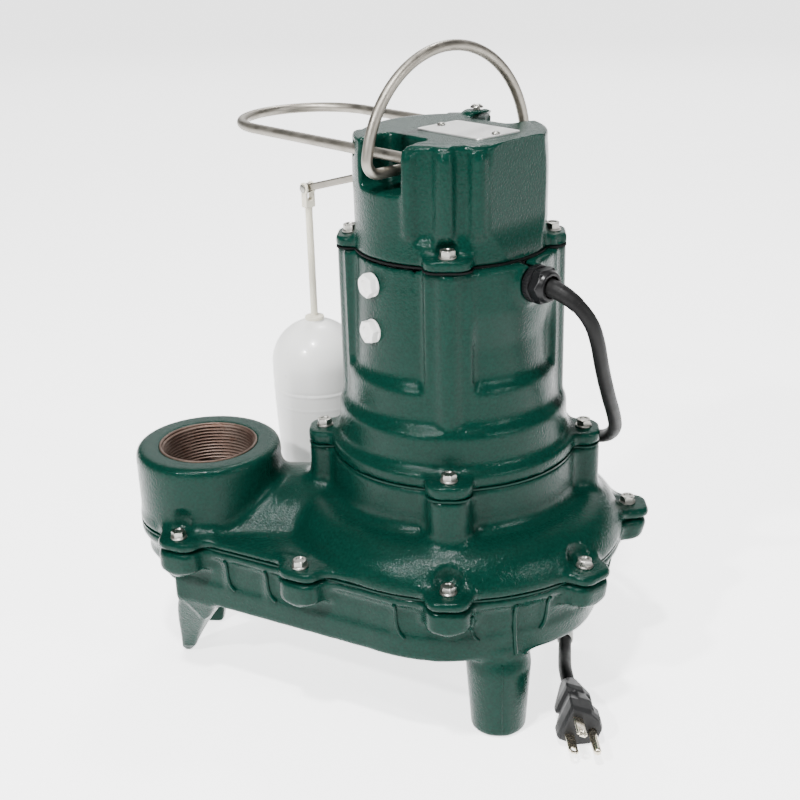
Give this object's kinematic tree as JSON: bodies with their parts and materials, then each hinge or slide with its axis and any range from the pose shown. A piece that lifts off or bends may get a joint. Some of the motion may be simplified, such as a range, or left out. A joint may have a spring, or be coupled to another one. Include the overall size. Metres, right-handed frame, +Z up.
{
  "type": "submersible sump pump",
  "caption": "Submersible sump pump with cast housing, side discharge, tethered-rod float switch, wire float guard, lifting bail and power cord.",
  "frame": {"origin": "centre of the footprint of the bare pump, on the floor", "axes": "+Z up along the motor shaft, +X towards the shaft end away from the discharge, +Y to the rear"},
  "size_m": [0.3274, 0.3844, 0.3992],
  "materials": {
    "enamel": "gloss",
    "base_enamel": "satin",
    "gasket": "matte",
    "stainless": "satin",
    "bronze": "satin",
    "shaft_steel": "polished",
    "core_steel": "satin",
    "copper": "gloss",
    "bearing_steel": "polished",
    "bracket_iron": "matte",
    "seal_ceramic": "gloss",
    "seal_carbon": "satin",
    "switch_plastic": "matte",
    "button_plastic": "gloss",
    "rod_plastic": "satin",
    "float_plastic": "satin",
    "wire_steel": "satin",
    "plate_aluminium": "satin",
    "plug_white": "satin",
    "gland_black": "gloss",
    "cord_jacket": "satin",
    "tie_white": "satin",
    "plug_black": "satin",
    "brass_pins": "polished"
  },
  "bodies": {
    "pump": {"switch_case": "enamel", "motor_housing": "enamel", "pump_housing": "enamel", "base": "base_enamel", "case_gasket": "gasket", "flange_gasket": "gasket", "volute_gasket": "gasket", "case_bolts": "stainless", "flange_bolts": "stainless", "volute_bolts": "stainless", "top_screw": "stainless", "stator_core": "core_steel", "stator_windings": "copper", "lower_bearing": "bearing_steel", "upper_bearing": "bearing_steel", "bearing_bracket": "bracket_iron", "seal_seat": "seal_ceramic", "snap_switch": "switch_plastic", "button_bushing": "switch_plastic", "arm_pin": "stainless", "float_guard": "wire_steel", "nameplate": "plate_aluminium", "nameplate_rivets": "plate_aluminium", "vent_plugs": "plug_white", "cord_gland": "gland_black", "gland_nut": "gland_black", "power_cord": "cord_jacket", "cord_coil": "cord_jacket", "coil_tie": "tie_white", "cord_sleeve": "tie_white", "plug_body": "plug_black", "plug_blades": "brass_pins", "ground_pin": "brass_pins"},
    "rotor": {"motor_shaft": "shaft_steel", "rotor_core": "core_steel", "impeller": "bronze", "impeller_nut": "bronze", "seal_ring": "seal_carbon"},
    "float_lever": {"float_arm": "stainless"},
    "float_assembly": {"float_rod": "rod_plastic", "rod_clip": "stainless", "float": "float_plastic"},
    "bail": {"bail_handle": "wire_steel"},
    "button": {"switch_button": "button_plastic"}
  },
  "joints": [
    {"name": "rotor_spin", "type": "hinge", "parent": "pump", "child": "rotor", "pos_m": [0.04233, -0.00841, 0.2], "axis": [0, 0, 1], "continuous": true},
    {"name": "lever_swing", "type": "hinge", "parent": "pump", "child": "float_lever", "pos_m": [-0.00011, 0.03258, 0.316], "axis": [0.6947, 0.7193, 0], "range_deg": [0, 30]},
    {"name": "rod_swing", "type": "hinge", "parent": "float_lever", "child": "float_assembly", "pos_m": [-0.05622, 0.08676, 0.294], "axis": [0.6947, 0.7193, 0], "range_deg": [-30, 0]},
    {"name": "bail_swing", "type": "hinge", "parent": "pump", "child": "bail", "pos_m": [0.04233, -0.00841, 0.332], "axis": [0.6947, 0.7193, 0], "range_deg": [-68, 100]},
    {"name": "button_press", "type": "slide", "parent": "pump", "child": "button", "axis": [0.7193, -0.6947, 0], "range_m": [0, 0.0073]}
  ],
  "couplings": [
    {"joint": "rod_swing", "follows": "lever_swing", "ratio": -1},
    {"joint": "button_press", "follows": "lever_swing", "m_per_rad": 0.0138}
  ]
}
